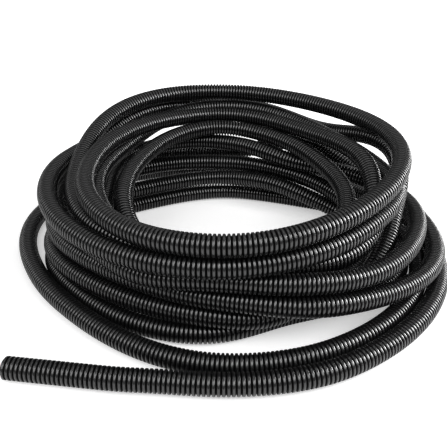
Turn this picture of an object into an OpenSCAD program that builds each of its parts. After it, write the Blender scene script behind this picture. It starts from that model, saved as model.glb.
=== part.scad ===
// A loose coil of corrugated conduit, lying flat as it comes out of its bag.
// The tube is one piece of stock: its stacked turns stand as one turned solid,
// its last turn and a half lies loose round them on the floor, and the free end
// is open. The ribs are fine relief and are not cut into these plain solids.

/* [Conduit] */
// Outside diameter, over the ribs
tube_od = 15.8; // [12:0.1:20]
// From the top of a rib to the bore
tube_wall = 1.7; // [0.8:0.1:3]
// Sides of the swept tube
tube_sides = 12; // [8:4:16]

/* [Coil] */
// Turns stacked on each other
coil_turns = 7; // [3:1:9]
// Radius of the lowest turn, to the middle of the conduit
coil_r = 128; // [110:1:160]
// How much further out each turn sits than the one below it
turn_lean = 3; // [0:0.5:5]
// Space that the springy turns leave between them
turn_gap = 0.8; // [0.4:0.1:2]
// Depth of the valleys between the turns
valley = 4; // [2:0.5:5]

/* [Free end] */
// Straight length at the open end
end_len = 60; // [35:1:90]
// How far the end swings away from the coil, in degrees from the X axis
end_swing = 8; // [0:1:15]

/* [Hidden] */
$fn = 96;

tube_bore = tube_od - 2 * tube_wall;
pitch = tube_od + turn_gap;
rise = sqrt(pitch * pitch - turn_lean * turn_lean);
lean_angle = atan2(turn_lean, rise);

// The loose turn, one point every 12 degrees from the free end inward: how far
// it lies outside the coil's lowest turn, in tube diameters.
first_angle = 244;
angle_step = 12;
loose_out = [
    4.15, 3.5, 3.35, 3.4, 3.5, 3.5, 3.55, 3.65, 3.75, 3.8,
    3.8, 3.75, 3.7, 3.6, 3.5, 3.3, 3.15, 3.1, 3.2, 3.5,
    3.9, 4.25, 4.4, 4.25, 3.75, 3.05, 2.4, 1.95, 1.65, 1.6,
    1.75, 2, 2.2, 2.3, 2.4, 2.45, 2.5, 2.55, 2.5, 2.25,
    1.85, 1.3, 0.65, 0.1
];

// Middle of the loose turn at each of its points, about the coil's axis
function loose_point(i) =
    let(a = first_angle + i * angle_step, r = coil_r + loose_out[i] * tube_od)
    [r * cos(a), r * sin(a), tube_od / 2];
loose = [for (i = [0:len(loose_out) - 1]) loose_point(i)];

// Which way the tube runs at each point; the first follows the straight end
end_dir = [cos(end_swing), -sin(end_swing), 0];
function unit(v) = v / norm(v);
function along(p, i) =
    i == 0 ? end_dir
    : i == len(p) - 1 ? unit(p[i] - p[i - 1])
    : unit(p[i + 1] - p[i - 1]);

// Corners of one cross-section of the swept tube
function ring(p, i) =
    let(t = along(p, i), side = unit(cross([0, 0, 1], t)), up = cross(t, side))
    [for (k = [0:tube_sides - 1]) let(a = 360 * k / tube_sides)
        p[i] + tube_od / 2 * (cos(a) * side + sin(a) * up)];
loose_corners = [for (i = [0:len(loose) - 1]) each ring(loose, i)];

// The part stands with the middle of its footprint on the origin
function middle(v) = (max(v) + min(v)) / 2;
footprint_mid = [middle([for (c = loose_corners) c[0]]),
                 middle([for (c = loose_corners) c[1]]), 0];

// The turn that the inner loop is tucked behind, half way up
inner_level = ceil(coil_turns / 2);

// Middle of a stacked turn's section, counted from the floor
function turn_at(k) = [coil_r + k * turn_lean, tube_od / 2 + k * rise];

// A bar from one turn's middle to another's, which leaves valleys between them
module web(from, to) {
    d = to - from;
    translate(from) rotate(atan2(d[1], d[0]))
        translate([0, valley - tube_od / 2]) square([norm(d), tube_od - 2 * valley]);
}

// Turns stacked on each other, with one more tucked inside them
module coil_section() {
    inner = (turn_at(inner_level - 1) + turn_at(inner_level)) / 2
        - pitch * sin(60) * [cos(lean_angle), -sin(lean_angle)];
    for (k = [0:coil_turns - 1]) translate(turn_at(k)) circle(d = tube_od);
    web(turn_at(0), turn_at(coil_turns - 1));
    translate(inner) circle(d = tube_od);
    web(inner, (turn_at(inner_level - 1) + turn_at(inner_level)) / 2);
}

module coil() {
    color("dimgray") translate(-footprint_mid) rotate_extrude() coil_section();
}

// The loose turn and a half on the floor, swept along its points
module loose_turn() {
    n = len(loose);
    m = tube_sides;
    sides = [for (i = [0:n - 2], k = [0:m - 1])
        [i * m + k, i * m + (k + 1) % m, (i + 1) * m + (k + 1) % m, (i + 1) * m + k]];
    first = [for (k = [m - 1:-1:0]) k];
    last = [for (k = [0:m - 1]) (n - 1) * m + k];
    color("dimgray") translate(-footprint_mid)
        polyhedron(loose_corners, concat([first], sides, [last]));
}

// The straight open end, with the conduit's real bore
module free_end() {
    color("dimgray") translate(loose[0] - footprint_mid)
        rotate([0, 0, -end_swing]) rotate([0, -90, 0])
        difference() {
            cylinder(d = tube_od, h = end_len);
            translate([0, 0, -1]) cylinder(d = tube_bore, h = end_len + 2);
        }
}

coil();
loose_turn();
free_end();
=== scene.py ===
# A loose coil of black corrugated conduit, lying flat with its open end free.
import math

import bpy
import numpy as np
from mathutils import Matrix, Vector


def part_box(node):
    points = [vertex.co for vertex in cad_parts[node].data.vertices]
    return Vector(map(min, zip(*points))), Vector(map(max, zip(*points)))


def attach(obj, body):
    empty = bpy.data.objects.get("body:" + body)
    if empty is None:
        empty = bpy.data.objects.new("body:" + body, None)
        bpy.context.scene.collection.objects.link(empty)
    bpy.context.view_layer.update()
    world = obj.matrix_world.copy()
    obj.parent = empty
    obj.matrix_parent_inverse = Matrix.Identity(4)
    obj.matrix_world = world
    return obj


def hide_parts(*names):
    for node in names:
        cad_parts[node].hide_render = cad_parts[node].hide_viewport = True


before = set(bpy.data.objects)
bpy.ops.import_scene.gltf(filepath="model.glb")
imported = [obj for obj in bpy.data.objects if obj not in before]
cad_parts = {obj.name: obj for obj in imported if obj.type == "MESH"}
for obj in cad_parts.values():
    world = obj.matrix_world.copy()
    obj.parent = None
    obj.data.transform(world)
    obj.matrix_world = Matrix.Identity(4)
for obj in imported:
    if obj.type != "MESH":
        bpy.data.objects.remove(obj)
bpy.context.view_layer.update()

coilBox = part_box("coil")
# the coil's axis, which the loose points and the turns are measured from
coilAxis = np.array([(coilBox[0][i] + coilBox[1][i]) / 2 for i in range(2)] + [0.0])
print("frame loaded, coil axis at", coilAxis.round(5))


# metres from the coil's axis, metres up, degrees down, lens and sensor in millimetres
camera = {"back": 0.445, "height": 0.264, "lookDown": 28, "lens": 44.86, "sensor": 36,
          "nearest": 0.01}


def placeCamera(values):
    bpy.ops.object.camera_add(
        location=(coilAxis[0], coilAxis[1] - values["back"], values["height"]),
        rotation=(math.radians(90 - values["lookDown"]), 0, 0))
    cam = bpy.context.object
    cam.name = "camera"
    cam.data.lens = values["lens"]
    cam.data.sensor_width = values["sensor"]
    cam.data.clip_start = values["nearest"]
    bpy.context.scene.camera = cam
    print("camera placed")


placeCamera(camera)


# Loose stretch, one point every 12 degrees from the free end inward: how far
# outside the coil's lowest turn, in tube diameters.
loose = {
    "tube": 0.0158, "coilRadius": 0.128, "firstAngle": 244, "step": 12,
    "endLength": 0.060, "endPoints": 12, "endSwing": 8, "usedTo": 675,
    "out": [4.15, 3.5, 3.35, 3.4, 3.5, 3.5, 3.55, 3.65, 3.75, 3.8,
            3.8, 3.75, 3.7, 3.6, 3.5, 3.3, 3.15, 3.1, 3.2, 3.5,
            3.9, 4.25, 4.4, 4.25, 3.75, 3.05, 2.4, 1.95, 1.65, 1.6,
            1.75, 2, 2.2, 2.3, 2.4, 2.45, 2.5, 2.55, 2.5, 2.25,
            1.85, 1.3, 0.65, 0.1],
}

# Each turn of the bundle as it lies, from the floor turn on: millimetres out from
# the axis and up from the floor, every 45 degrees from the back right round by
# the left. Turns closer than "touching" are pushed apart.
bundle = {
    "firstAngle": 765, "step": 45, "turns": [
        [(124, 8), (112, 8), (117, 8), (151, 8), (139, 8), (130, 8), (131, 8), (150, 8)],
        [(100, 29), (107, 27), (117, 25), (150, 24), (133, 24), (130, 24), (128, 25), (130, 27)],
        [(111, 39), (114, 41), (130, 42), (149, 38), (126, 40), (132, 40), (164, 31), (184, 24)],
        [(157, 52), (144, 43), (144, 52), (145, 60), (130, 56), (134, 56), (157, 48), (167, 45)],
        [(108, 57), (120, 63), (128, 61), (104, 62), (113, 40), (117, 31), (143, 30), (153, 71.5)],
        [(147, 80), (163, 90), (147, 88), (147, 77), (144, 72), (142, 71), (141, 76), (137, 77)],
        [(131, 84), (148, 92), (121, 81), (108, 70), (108, 63), (119, 61), (137, 58), (124, 84)],
        [(116, 86), (132, 87), (115, 90), (112, 88), (128, 86), (142, 86), (139, 92), (146, 103)],
        [(140, 107), (149, 108), (142, 104), (124, 82), (128, 71), (119, 46), (112, 52), (104, 64)],
        [(106, 70), (122, 79), (98, 73), (84, 70), (98, 54)],
    ],
    # the same at angles between: the end of the loose turn and the floor turn, both
    # at the right, a hump at the back, the right side, the steep climb there, the
    # back, the back left, and the inner end
    "between": {690: (170.1, 8), 704: (171.7, 8), 720: (172.0, 8), 740: (155, 8),
                1061: (156.5, 8), 1072: (156.5, 8),
                1860: (150, 61), 1875: (146, 46), 2130: (161, 47), 2144: (163.5, 44.5),
                2490: (143, 42), 2504: (144, 52), 2512: (144, 60), 2535: (155, 88),
                2595: (160, 88), 2670: (143, 79), 2685: (145, 78), 4198: (102, 45)},
    "everyDegrees": 1.5, "spacing": 0.006,
    # the loose turn is fixed up to "fixedTo" and free "freeOver" degrees on
    "fixedTo": 700, "freeOver": 60, "rounds": 240, "searchEvery": 8,
    "touching": 0.01595, "searchWithin": 1.5, "skipPoints": 12,
    "spreadOver": 13, "pushShare": 1.3, "easeShare": 0.5,
}


def smoothThrough(knots, values, at):
    # natural cubic spline through the knots
    count = len(knots)
    gap = np.diff(knots)
    system = np.zeros((count, count))
    right = np.zeros_like(values)
    system[0, 0] = system[-1, -1] = 1
    for i in range(1, count - 1):
        system[i, i - 1:i + 2] = gap[i - 1], 2 * (gap[i - 1] + gap[i]), gap[i]
        right[i] = 6 * ((values[i + 1] - values[i]) / gap[i]
                        - (values[i] - values[i - 1]) / gap[i - 1])
    bend = np.linalg.solve(system, right)
    k = np.clip(np.searchsorted(knots, at, side="right") - 1, 0, count - 2)
    before, after = (at - knots[k])[:, None], (knots[k + 1] - at)[:, None]
    width = gap[k][:, None]
    return (bend[k] * after ** 3 / (6 * width) + bend[k + 1] * before ** 3 / (6 * width)
            + (values[k] / width - bend[k] * width / 6) * after
            + (values[k + 1] / width - bend[k + 1] * width / 6) * before)


def runLength(points):
    steps = np.linalg.norm(np.diff(points, axis=0), axis=1)
    return np.concatenate([[0], np.cumsum(steps)])


def evenly(points, step):
    run = runLength(points[:, :3])
    count = max(2, round(run[-1] / step) + 1)
    at = np.linspace(0, run[-1], count)
    return np.stack([np.interp(at, run, column) for column in points.T], axis=1)


def settleTurns(points, angles, values, tube):
    # pushes turns that lie in each other apart until they only touch; the
    # loose stretch stays where it lies
    free = np.clip((angles - values["fixedTo"]) / values["freeOver"], 0, 1)
    spread = np.hanning(values["spreadOver"])[1:-1]
    spread /= spread.sum()
    for go in range(values["rounds"]):
        if go % values["searchEvery"] == 0:
            apart = ((points[:, None] - points[None]) ** 2).sum(axis=2)
            near = apart < (values["searchWithin"] * tube) ** 2
            one, two = np.nonzero(np.triu(near, values["skipPoints"]))
        across = points[two] - points[one]
        gap = np.maximum(np.linalg.norm(across, axis=1), 1e-9)
        over = np.maximum(values["touching"] - gap, 0)
        push = across / gap[:, None] * over[:, None]
        share = np.maximum(free[one] + free[two], 1e-6)
        move, hits = np.zeros_like(points), np.zeros(len(points))
        np.add.at(move, one, -push * (free[one] / share)[:, None])
        np.add.at(move, two, push * (free[two] / share)[:, None])
        np.add.at(hits, one, over > 0)
        np.add.at(hits, two, over > 0)
        move /= np.maximum(hits, 1)[:, None]
        move = np.stack([np.convolve(m, spread, "same") for m in move.T], axis=1)
        points = points + move * free[:, None] * values["pushShare"]
        # the conduit is stiff, so it eases towards an even bend
        hollow = np.zeros_like(points)
        hollow[1:-1] = (points[:-2] + points[2:]) / 2 - points[1:-1]
        bend = np.zeros_like(points)
        bend[2:-2] = hollow[2:-2] - (hollow[1:-3] + hollow[3:-1]) / 2
        points = points + bend * free[:, None] * values["easeShare"]
        points[:, 2] = np.maximum(points[:, 2], tube / 2)
    print("turns settled, deepest overlap %.2f mm" % (over.max() * 1000))
    return points


def conduitRoute():
    # from the free end inward; the angle of each point goes along with it
    tube = loose["tube"]
    angles, places = [], []
    for i, out in enumerate(loose["out"]):
        angle = loose["firstAngle"] + i * loose["step"]
        if angle <= loose["usedTo"]:
            angles.append(angle)
            places.append((loose["coilRadius"] + out * tube, tube / 2))
    stations = [place for turn in bundle["turns"] for place in turn]
    laid = {bundle["firstAngle"] + i * bundle["step"]: place
            for i, place in enumerate(stations)}
    for angle, (out, up) in list(laid.items()) + list(bundle["between"].items()):
        angles.append(angle)
        places.append((out / 1000, up / 1000))
    order = np.argsort(angles)
    angles, places = np.array(angles, float)[order], np.array(places)[order]
    at = np.arange(angles[0], angles[-1] + 0.01, bundle["everyDegrees"])
    out, up = smoothThrough(angles, places, at).T
    turn = np.radians(at)
    line = np.stack([out * np.cos(turn), out * np.sin(turn),
                     np.maximum(up, tube / 2), at], axis=1)
    swing = math.radians(loose["endSwing"])
    ahead = np.array([math.cos(swing), -math.sin(swing), 0, 0])
    back = np.linspace(loose["endLength"], 0, loose["endPoints"] + 1)[:-1, None]
    line = evenly(np.concatenate([line[0] - ahead * back, line]), bundle["spacing"])
    points = settleTurns(line[:, :3], line[:, 3], bundle, tube)
    points = points + coilAxis
    print("route of %.3f m" % runLength(points)[-1])
    return points


route = conduitRoute()


ribs = {
    "pitch": 0.00312, "sides": 24, "runs": 5,
    # along the pitch, and how far below the outside, from groove to crest
    "outside": [(0.00, 0.00145), (0.17, 0.00145), (0.29, 0.00033),
                (0.37, 0.00002), (0.80, 0.00002), (0.88, 0.00033)],
    "bore": 0.0062, "boreWave": 0.0009, "boreDepth": 0.060,
    "lineStep": 0.0015, "pathEvery": 4,
}


def smoothRoute(points, step):
    # the settled points are too coarse for the ribs: a finer, rounder line runs
    # through every other one and the last
    run = runLength(points)
    kept = np.unique(np.append(np.arange(0, len(points), 2), len(points) - 1))
    return smoothThrough(run[kept], points[kept], np.arange(0, run[-1], step))


def framesAlong(points):
    # two directions across the line at each point, carried along untwisted
    ahead = np.gradient(points, axis=0)
    ahead /= np.linalg.norm(ahead, axis=1)[:, None]
    side = np.zeros_like(points)
    first = np.cross(ahead[0], (0, 0, 1))
    side[0] = first / np.linalg.norm(first)
    for i in range(1, len(points)):
        carried = side[i - 1] - ahead[i] * side[i - 1].dot(ahead[i])
        side[i] = carried / np.linalg.norm(carried)
    return side, np.cross(side, ahead)


def ringsOf(run, line, side, up, distances, radii, sides):
    # rings at given distances along the whole route
    centre = np.stack([np.interp(distances, run, c) for c in line.T], axis=1)
    across = np.stack([np.interp(distances, run, c) for c in side.T], axis=1)
    rise = np.stack([np.interp(distances, run, c) for c in up.T], axis=1)
    across /= np.linalg.norm(across, axis=1)[:, None]
    rise /= np.linalg.norm(rise, axis=1)[:, None]
    angle = np.arange(sides) * 2 * math.pi / sides
    return (centre[:, None] + radii[:, None, None]
            * (across[:, None] * np.cos(angle)[None, :, None]
               + rise[:, None] * np.sin(angle)[None, :, None]))


def tubeMesh(name, rings, crest, along):
    # a tube closed at both ends, from rings of points; its UV map goes once round
    # and in metres along
    count, sides = rings.shape[:2]
    points = rings.reshape(-1, 3)
    faces = []
    for i in range(count - 1):
        low, high = i * sides, (i + 1) * sides
        for k in range(sides):
            n = (k + 1) % sides
            faces.append((low + k, low + n, high + n, high + k))
    faces.append(tuple(reversed(range(sides))))
    faces.append(tuple((count - 1) * sides + k for k in range(sides)))
    mesh = bpy.data.meshes.new(name)
    mesh.from_pydata(points.tolist(), [], faces)
    shade = mesh.attributes.new("crest", "FLOAT", "POINT")
    shade.data.foreach_set("value", np.repeat(crest, sides).astype(np.float32))
    uv = mesh.uv_layers.new(name="along")
    corner = np.zeros(len(mesh.loops), dtype=np.int32)
    mesh.loops.foreach_get("vertex_index", corner)
    around = (corner % sides) / sides
    place = np.stack([around, along[corner // sides]], axis=1)
    # the last column of faces closes the circle at 1 and not at 0
    quads = (count - 1) * sides
    wrap = place[:quads * 4].reshape(-1, 4, 2)
    last = wrap[:, 0, 0] > (sides - 1.5) / sides
    wrap[last, 1, 0] = wrap[last, 2, 0] = 1
    uv.data.foreach_set("uv", place.astype(np.float32).ravel())
    mesh.update()
    piece = bpy.data.objects.new(name, mesh)
    bpy.context.collection.objects.link(piece)
    bpy.ops.object.select_all(action="DESELECT")
    piece.select_set(True)
    bpy.context.view_layer.objects.active = piece
    bpy.ops.object.mode_set(mode="EDIT")
    bpy.ops.mesh.select_all(action="SELECT")
    bpy.ops.mesh.normals_make_consistent(inside=False)
    bpy.ops.object.mode_set(mode="OBJECT")
    bpy.ops.object.shade_smooth()
    return piece


def boreRings(values, mouth, inward):
    # the wall of the bore at an open end, from its depth out to the mouth; with a crest value of 0
    # it takes the darker groove colour, which is painted shade
    count = int(values["boreDepth"] / (values["pitch"] / 2))
    step = np.linspace(values["boreDepth"], 0, count)
    wave = values["boreWave"] * (np.arange(count) % 2)
    wave[-1] = 0
    return mouth + inward * step, values["bore"] + wave, np.zeros(count)


def buildConduit(values):
    tube = loose["tube"]
    line = smoothRoute(route, values["lineStep"])
    run = runLength(line)
    side, up = framesAlong(line)
    ribCount = int(run[-1] / values["pitch"])
    total = ribCount * values["pitch"]
    cuts = [round(ribCount * k / values["runs"]) for k in range(values["runs"] + 1)]
    pieces = []
    for k in range(values["runs"]):
        offsets, depths = np.array(values["outside"]).T
        ribAt = np.arange(cuts[k], cuts[k + 1])
        distances = ((ribAt[:, None] + offsets[None]) * values["pitch"]).ravel()
        radii = np.tile(tube / 2 - depths, len(ribAt))
        # every run ends at the bottom of its last groove, where the next begins
        distances = np.append(distances, cuts[k + 1] * values["pitch"])
        radii = np.append(radii, tube / 2 - depths[0])
        crest = 1 - (tube / 2 - radii) / depths.max()
        first, last = k == 0, k == values["runs"] - 1
        if first:
            bore, wall, dark = boreRings(values, 0, 1)
            distances = np.concatenate([bore, distances])
            radii = np.concatenate([wall, radii])
            crest = np.concatenate([dark, crest])
        if last:
            bore, wall, dark = boreRings(values, total, -1)
            distances = np.concatenate([distances, bore[::-1]])
            radii = np.concatenate([radii, wall[::-1]])
            crest = np.concatenate([crest, dark])
        rings = ringsOf(run, line, side, up, distances, radii, values["sides"])
        piece = tubeMesh("conduitRun%d" % (k + 1), rings, crest, distances)
        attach(piece, "root")
        pieces.append(piece)
    return pieces


conduitPieces = buildConduit(ribs)
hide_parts("free_end", "loose_turn")
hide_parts("coil")


plastic = {
    # the groove colour is painted shade: the grooves and the bore are made darker than the crests
    "colour": (0.0060, 0.0061, 0.0064, 1), "grooveShade": (0.0004, 0.0004, 0.0004, 1),
    "dustColour": (0.09, 0.088, 0.084, 1), "dust": 0.02,
    "wornColour": (0.045, 0.045, 0.047, 1), "worn": 0.25,
    "roughness": (0.25, 0.37), "grooveRoughness": 0.50, "specular": 0.08,
    "polish": 1.0, "polishRoughness": 0.20, "polishIor": 1.8,
    # moulded grain: fine and slow noise, and how much the fine one stands up
    "fineScale": 900.0, "fineDetail": 2, "slowScale": 40.0, "slowDetail": 4,
    "slowLimits": (0.3, 0.7), "bump": 0.05, "bumpHeight": 0.0002,
    # rubbed and dusty patches
    "patchScale": 60.0, "patchDetail": 5, "patchRoughness": 0.65,
    "rubbedLimits": (0.52, 0.72), "upwardFrom": 0.2,
    # how high up a rib each finish begins and is full, from 0 in the groove to 1
    "rubbedFrom": 0.80, "dullLimits": (0.75, 0.95), "polishLimits": (0.82, 0.98),
}


def addSocket(group, name, direction, value=None):
    socket = group.interface.new_socket(
        name=name, in_out=direction, socket_type="NodeSocketFloat")
    if value is not None:
        socket.default_value = value


def feed(links, socket, value):
    # links a node's output, or sets a plain number or colour
    if hasattr(value, "is_output"):
        links.new(value, socket)
    else:
        socket.default_value = value


def ranged(nodes, links, value, start, end):
    # maps a value from the limits in start to those in end, and holds it there
    node = nodes.new("ShaderNodeMapRange")
    links.new(value, node.inputs["Value"])
    for socket, limit in zip(("From Min", "From Max", "To Min", "To Max"), start + end):
        feed(links, node.inputs[socket], limit)
    return node.outputs["Result"]


def times(nodes, links, first, second):
    node = nodes.new("ShaderNodeMath")
    node.operation = "MULTIPLY"
    feed(links, node.inputs[0], first)
    feed(links, node.inputs[1], second)
    return node.outputs[0]


def mixColour(nodes, links, factor, first, second):
    mix = nodes.new("ShaderNodeMix")
    mix.data_type = "RGBA"
    feed(links, mix.inputs["Factor"], factor)
    feed(links, mix.inputs["A"], first)
    feed(links, mix.inputs["B"], second)
    return mix.outputs["Result"]


def surfaceGrain(values):
    # fine moulded grain with slow flow marks, as a height and as a mottle
    group = bpy.data.node_groups.new("surfaceGrain", "ShaderNodeTree")
    addSocket(group, "Fine Scale", "INPUT", values["fineScale"])
    addSocket(group, "Slow Scale", "INPUT", values["slowScale"])
    addSocket(group, "Height", "OUTPUT")
    addSocket(group, "Mottle", "OUTPUT")
    nodes, links = group.nodes, group.links
    given, out = nodes.new("NodeGroupInput"), nodes.new("NodeGroupOutput")
    place = nodes.new("ShaderNodeTexCoord")
    for scale, detail, result in (("Fine Scale", values["fineDetail"], "Height"),
                                  ("Slow Scale", values["slowDetail"], "Mottle")):
        noise = nodes.new("ShaderNodeTexNoise")
        noise.inputs["Detail"].default_value = detail
        links.new(place.outputs["Object"], noise.inputs["Vector"])
        links.new(given.outputs[scale], noise.inputs["Scale"])
        links.new(noise.outputs["Fac"], out.inputs[result])
    return group


def handlingWear(values):
    # where the crests have rubbed on each other, and where dust has settled
    group = bpy.data.node_groups.new("handlingWear", "ShaderNodeTree")
    addSocket(group, "Crest", "INPUT", 1.0)
    addSocket(group, "Patch Scale", "INPUT", values["patchScale"])
    addSocket(group, "Rubbed", "OUTPUT")
    addSocket(group, "Dusty", "OUTPUT")
    nodes, links = group.nodes, group.links
    given, out = nodes.new("NodeGroupInput"), nodes.new("NodeGroupOutput")
    place = nodes.new("ShaderNodeTexCoord")
    patches = nodes.new("ShaderNodeTexNoise")
    patches.inputs["Detail"].default_value = values["patchDetail"]
    patches.inputs["Roughness"].default_value = values["patchRoughness"]
    links.new(place.outputs["Object"], patches.inputs["Vector"])
    links.new(given.outputs["Patch Scale"], patches.inputs["Scale"])
    worn = ranged(nodes, links, patches.outputs["Fac"], values["rubbedLimits"], (0, 1))
    top = ranged(nodes, links, given.outputs["Crest"], (values["rubbedFrom"], 1), (0, 1))
    links.new(times(nodes, links, worn, top), out.inputs["Rubbed"])
    facing = nodes.new("ShaderNodeNewGeometry")
    split = nodes.new("ShaderNodeSeparateXYZ")
    links.new(facing.outputs["Normal"], split.inputs["Vector"])
    upward = ranged(nodes, links, split.outputs["Z"], (values["upwardFrom"], 1), (0, 1))
    links.new(times(nodes, links, upward, patches.outputs["Fac"]), out.inputs["Dusty"])
    return group


def conduitPlastic(values):
    material = bpy.data.materials.new("conduitPlastic")
    material.use_nodes = True
    nodes, links = material.node_tree.nodes, material.node_tree.links
    shader = nodes["Principled BSDF"]
    grain = nodes.new("ShaderNodeGroup")
    grain.node_tree = surfaceGrain(values)
    wear = nodes.new("ShaderNodeGroup")
    wear.node_tree = handlingWear(values)
    alongRib = nodes.new("ShaderNodeAttribute")
    alongRib.attribute_name = "crest"
    crest = alongRib.outputs["Fac"]
    links.new(crest, wear.inputs["Crest"])
    rubbed = times(nodes, links, wear.outputs["Rubbed"], values["worn"])
    dusty = times(nodes, links, wear.outputs["Dusty"], values["dust"])
    # painted shade: the colour darkens from the crests down into the grooves and the bore
    colour = mixColour(nodes, links, crest, values["grooveShade"], values["colour"])
    colour = mixColour(nodes, links, rubbed, colour, values["wornColour"])
    colour = mixColour(nodes, links, dusty, colour, values["dustColour"])
    links.new(colour, shader.inputs["Base Color"])
    # the grooves are dull, and the mould leaves the crests polished
    rough = ranged(nodes, links, grain.outputs["Mottle"], values["slowLimits"],
                   values["roughness"])
    dull = ranged(nodes, links, crest, values["dullLimits"],
                  (values["grooveRoughness"], rough))
    links.new(dull, shader.inputs["Roughness"])
    polish = ranged(nodes, links, crest, values["polishLimits"], (0, values["polish"]))
    links.new(polish, shader.inputs["Coat Weight"])
    shader.inputs["Specular IOR Level"].default_value = values["specular"]
    shader.inputs["Coat Roughness"].default_value = values["polishRoughness"]
    shader.inputs["Coat IOR"].default_value = values["polishIor"]
    bump = nodes.new("ShaderNodeBump")
    bump.inputs["Strength"].default_value = values["bump"]
    bump.inputs["Distance"].default_value = values["bumpHeight"]
    links.new(grain.outputs["Height"], bump.inputs["Height"])
    links.new(bump.outputs["Normal"], shader.inputs["Normal"])
    return material


conduitMaterial = conduitPlastic(plastic)
for piece in conduitPieces:
    piece.data.materials.append(conduitMaterial)
print("black plastic on", len(conduitPieces), "runs")


# The floor is white to the eye beyond "whiteFrom" metres and takes shadows inside
# "litTo"; "lift" is how much white it keeps there.
studio = {
    "floorSize": 8.0, "floorColour": (0.88, 0.88, 0.88, 1), "floorRoughness": 0.7,
    "floorSpecular": 0.2, "lift": 0.42, "litTo": 0.19, "whiteFrom": 0.38,
    "worldStrength": 0.2,
}


def layFloor(values):
    bpy.ops.mesh.primitive_plane_add(size=values["floorSize"], location=(0, 0, 0))
    floor = bpy.context.object
    floor.name = "floor"
    material = bpy.data.materials.new("paleFloor")
    material.use_nodes = True
    nodes, links = material.node_tree.nodes, material.node_tree.links
    shader = nodes["Principled BSDF"]
    shader.inputs["Base Color"].default_value = values["floorColour"]
    shader.inputs["Roughness"].default_value = values["floorRoughness"]
    shader.inputs["Specular IOR Level"].default_value = values["floorSpecular"]
    place = nodes.new("ShaderNodeTexCoord")
    distance = nodes.new("ShaderNodeVectorMath")
    distance.operation = "LENGTH"
    links.new(place.outputs["Object"], distance.inputs[0])
    white = ranged(nodes, links, distance.outputs["Value"],
                   (values["litTo"], values["whiteFrom"]), (values["lift"], 1))
    path = nodes.new("ShaderNodeLightPath")
    seen = times(nodes, links, path.outputs["Is Camera Ray"], white)
    shader.inputs["Emission Color"].default_value = (1, 1, 1, 1)
    links.new(seen, shader.inputs["Emission Strength"])
    floor.data.materials.append(material)


# each lamp: degrees round from the X axis, degrees up, distance, side and power
lamps = {
    "rightBox": (12, 18, 1.3, 0.5, 14),
    "frontRightBox": (-42, 44, 1.3, 0.7, 6),
    "frontLeftBox": (-130, 40, 1.3, 0.6, 3),
    "frontBox": (-92, 48, 1.3, 0.9, 4.5),
    "overheadBox": (80, 80, 1.2, 0.8, 1.2),
    "leftBox": (188, 35, 1.3, 0.5, 2),
}


def hangLamp(name, around, up, distance, side, power):
    flat = distance * math.cos(math.radians(up))
    bpy.ops.object.light_add(type="AREA", location=(
        flat * math.cos(math.radians(around)), flat * math.sin(math.radians(around)),
        distance * math.sin(math.radians(up))))
    lamp = bpy.context.object
    lamp.name = name
    lamp.data.shape = "SQUARE"
    lamp.data.size = side
    lamp.data.energy = power
    # a lamp shines down its own -Z, so it is tipped up and turned to face the coil
    lamp.rotation_euler = (math.radians(90 - up), 0, math.radians(around + 90))


def lightWorld(values):
    # white to the eye, and a low even light on the conduit
    world = bpy.data.worlds.new("studio")
    bpy.context.scene.world = world
    world.use_nodes = True
    nodes, links = world.node_tree.nodes, world.node_tree.links
    path = nodes.new("ShaderNodeLightPath")
    seen = ranged(nodes, links, path.outputs["Is Camera Ray"], (0, 1),
                  (values["worldStrength"], 1))
    nodes["Background"].inputs["Color"].default_value = (1, 1, 1, 1)
    links.new(seen, nodes["Background"].inputs["Strength"])


layFloor(studio)
for name, values in lamps.items():
    hangLamp(name, *values)
lightWorld(studio)
bpy.context.scene.view_settings.view_transform = "Standard"
print("floor laid and", len(lamps), "lamps hung")
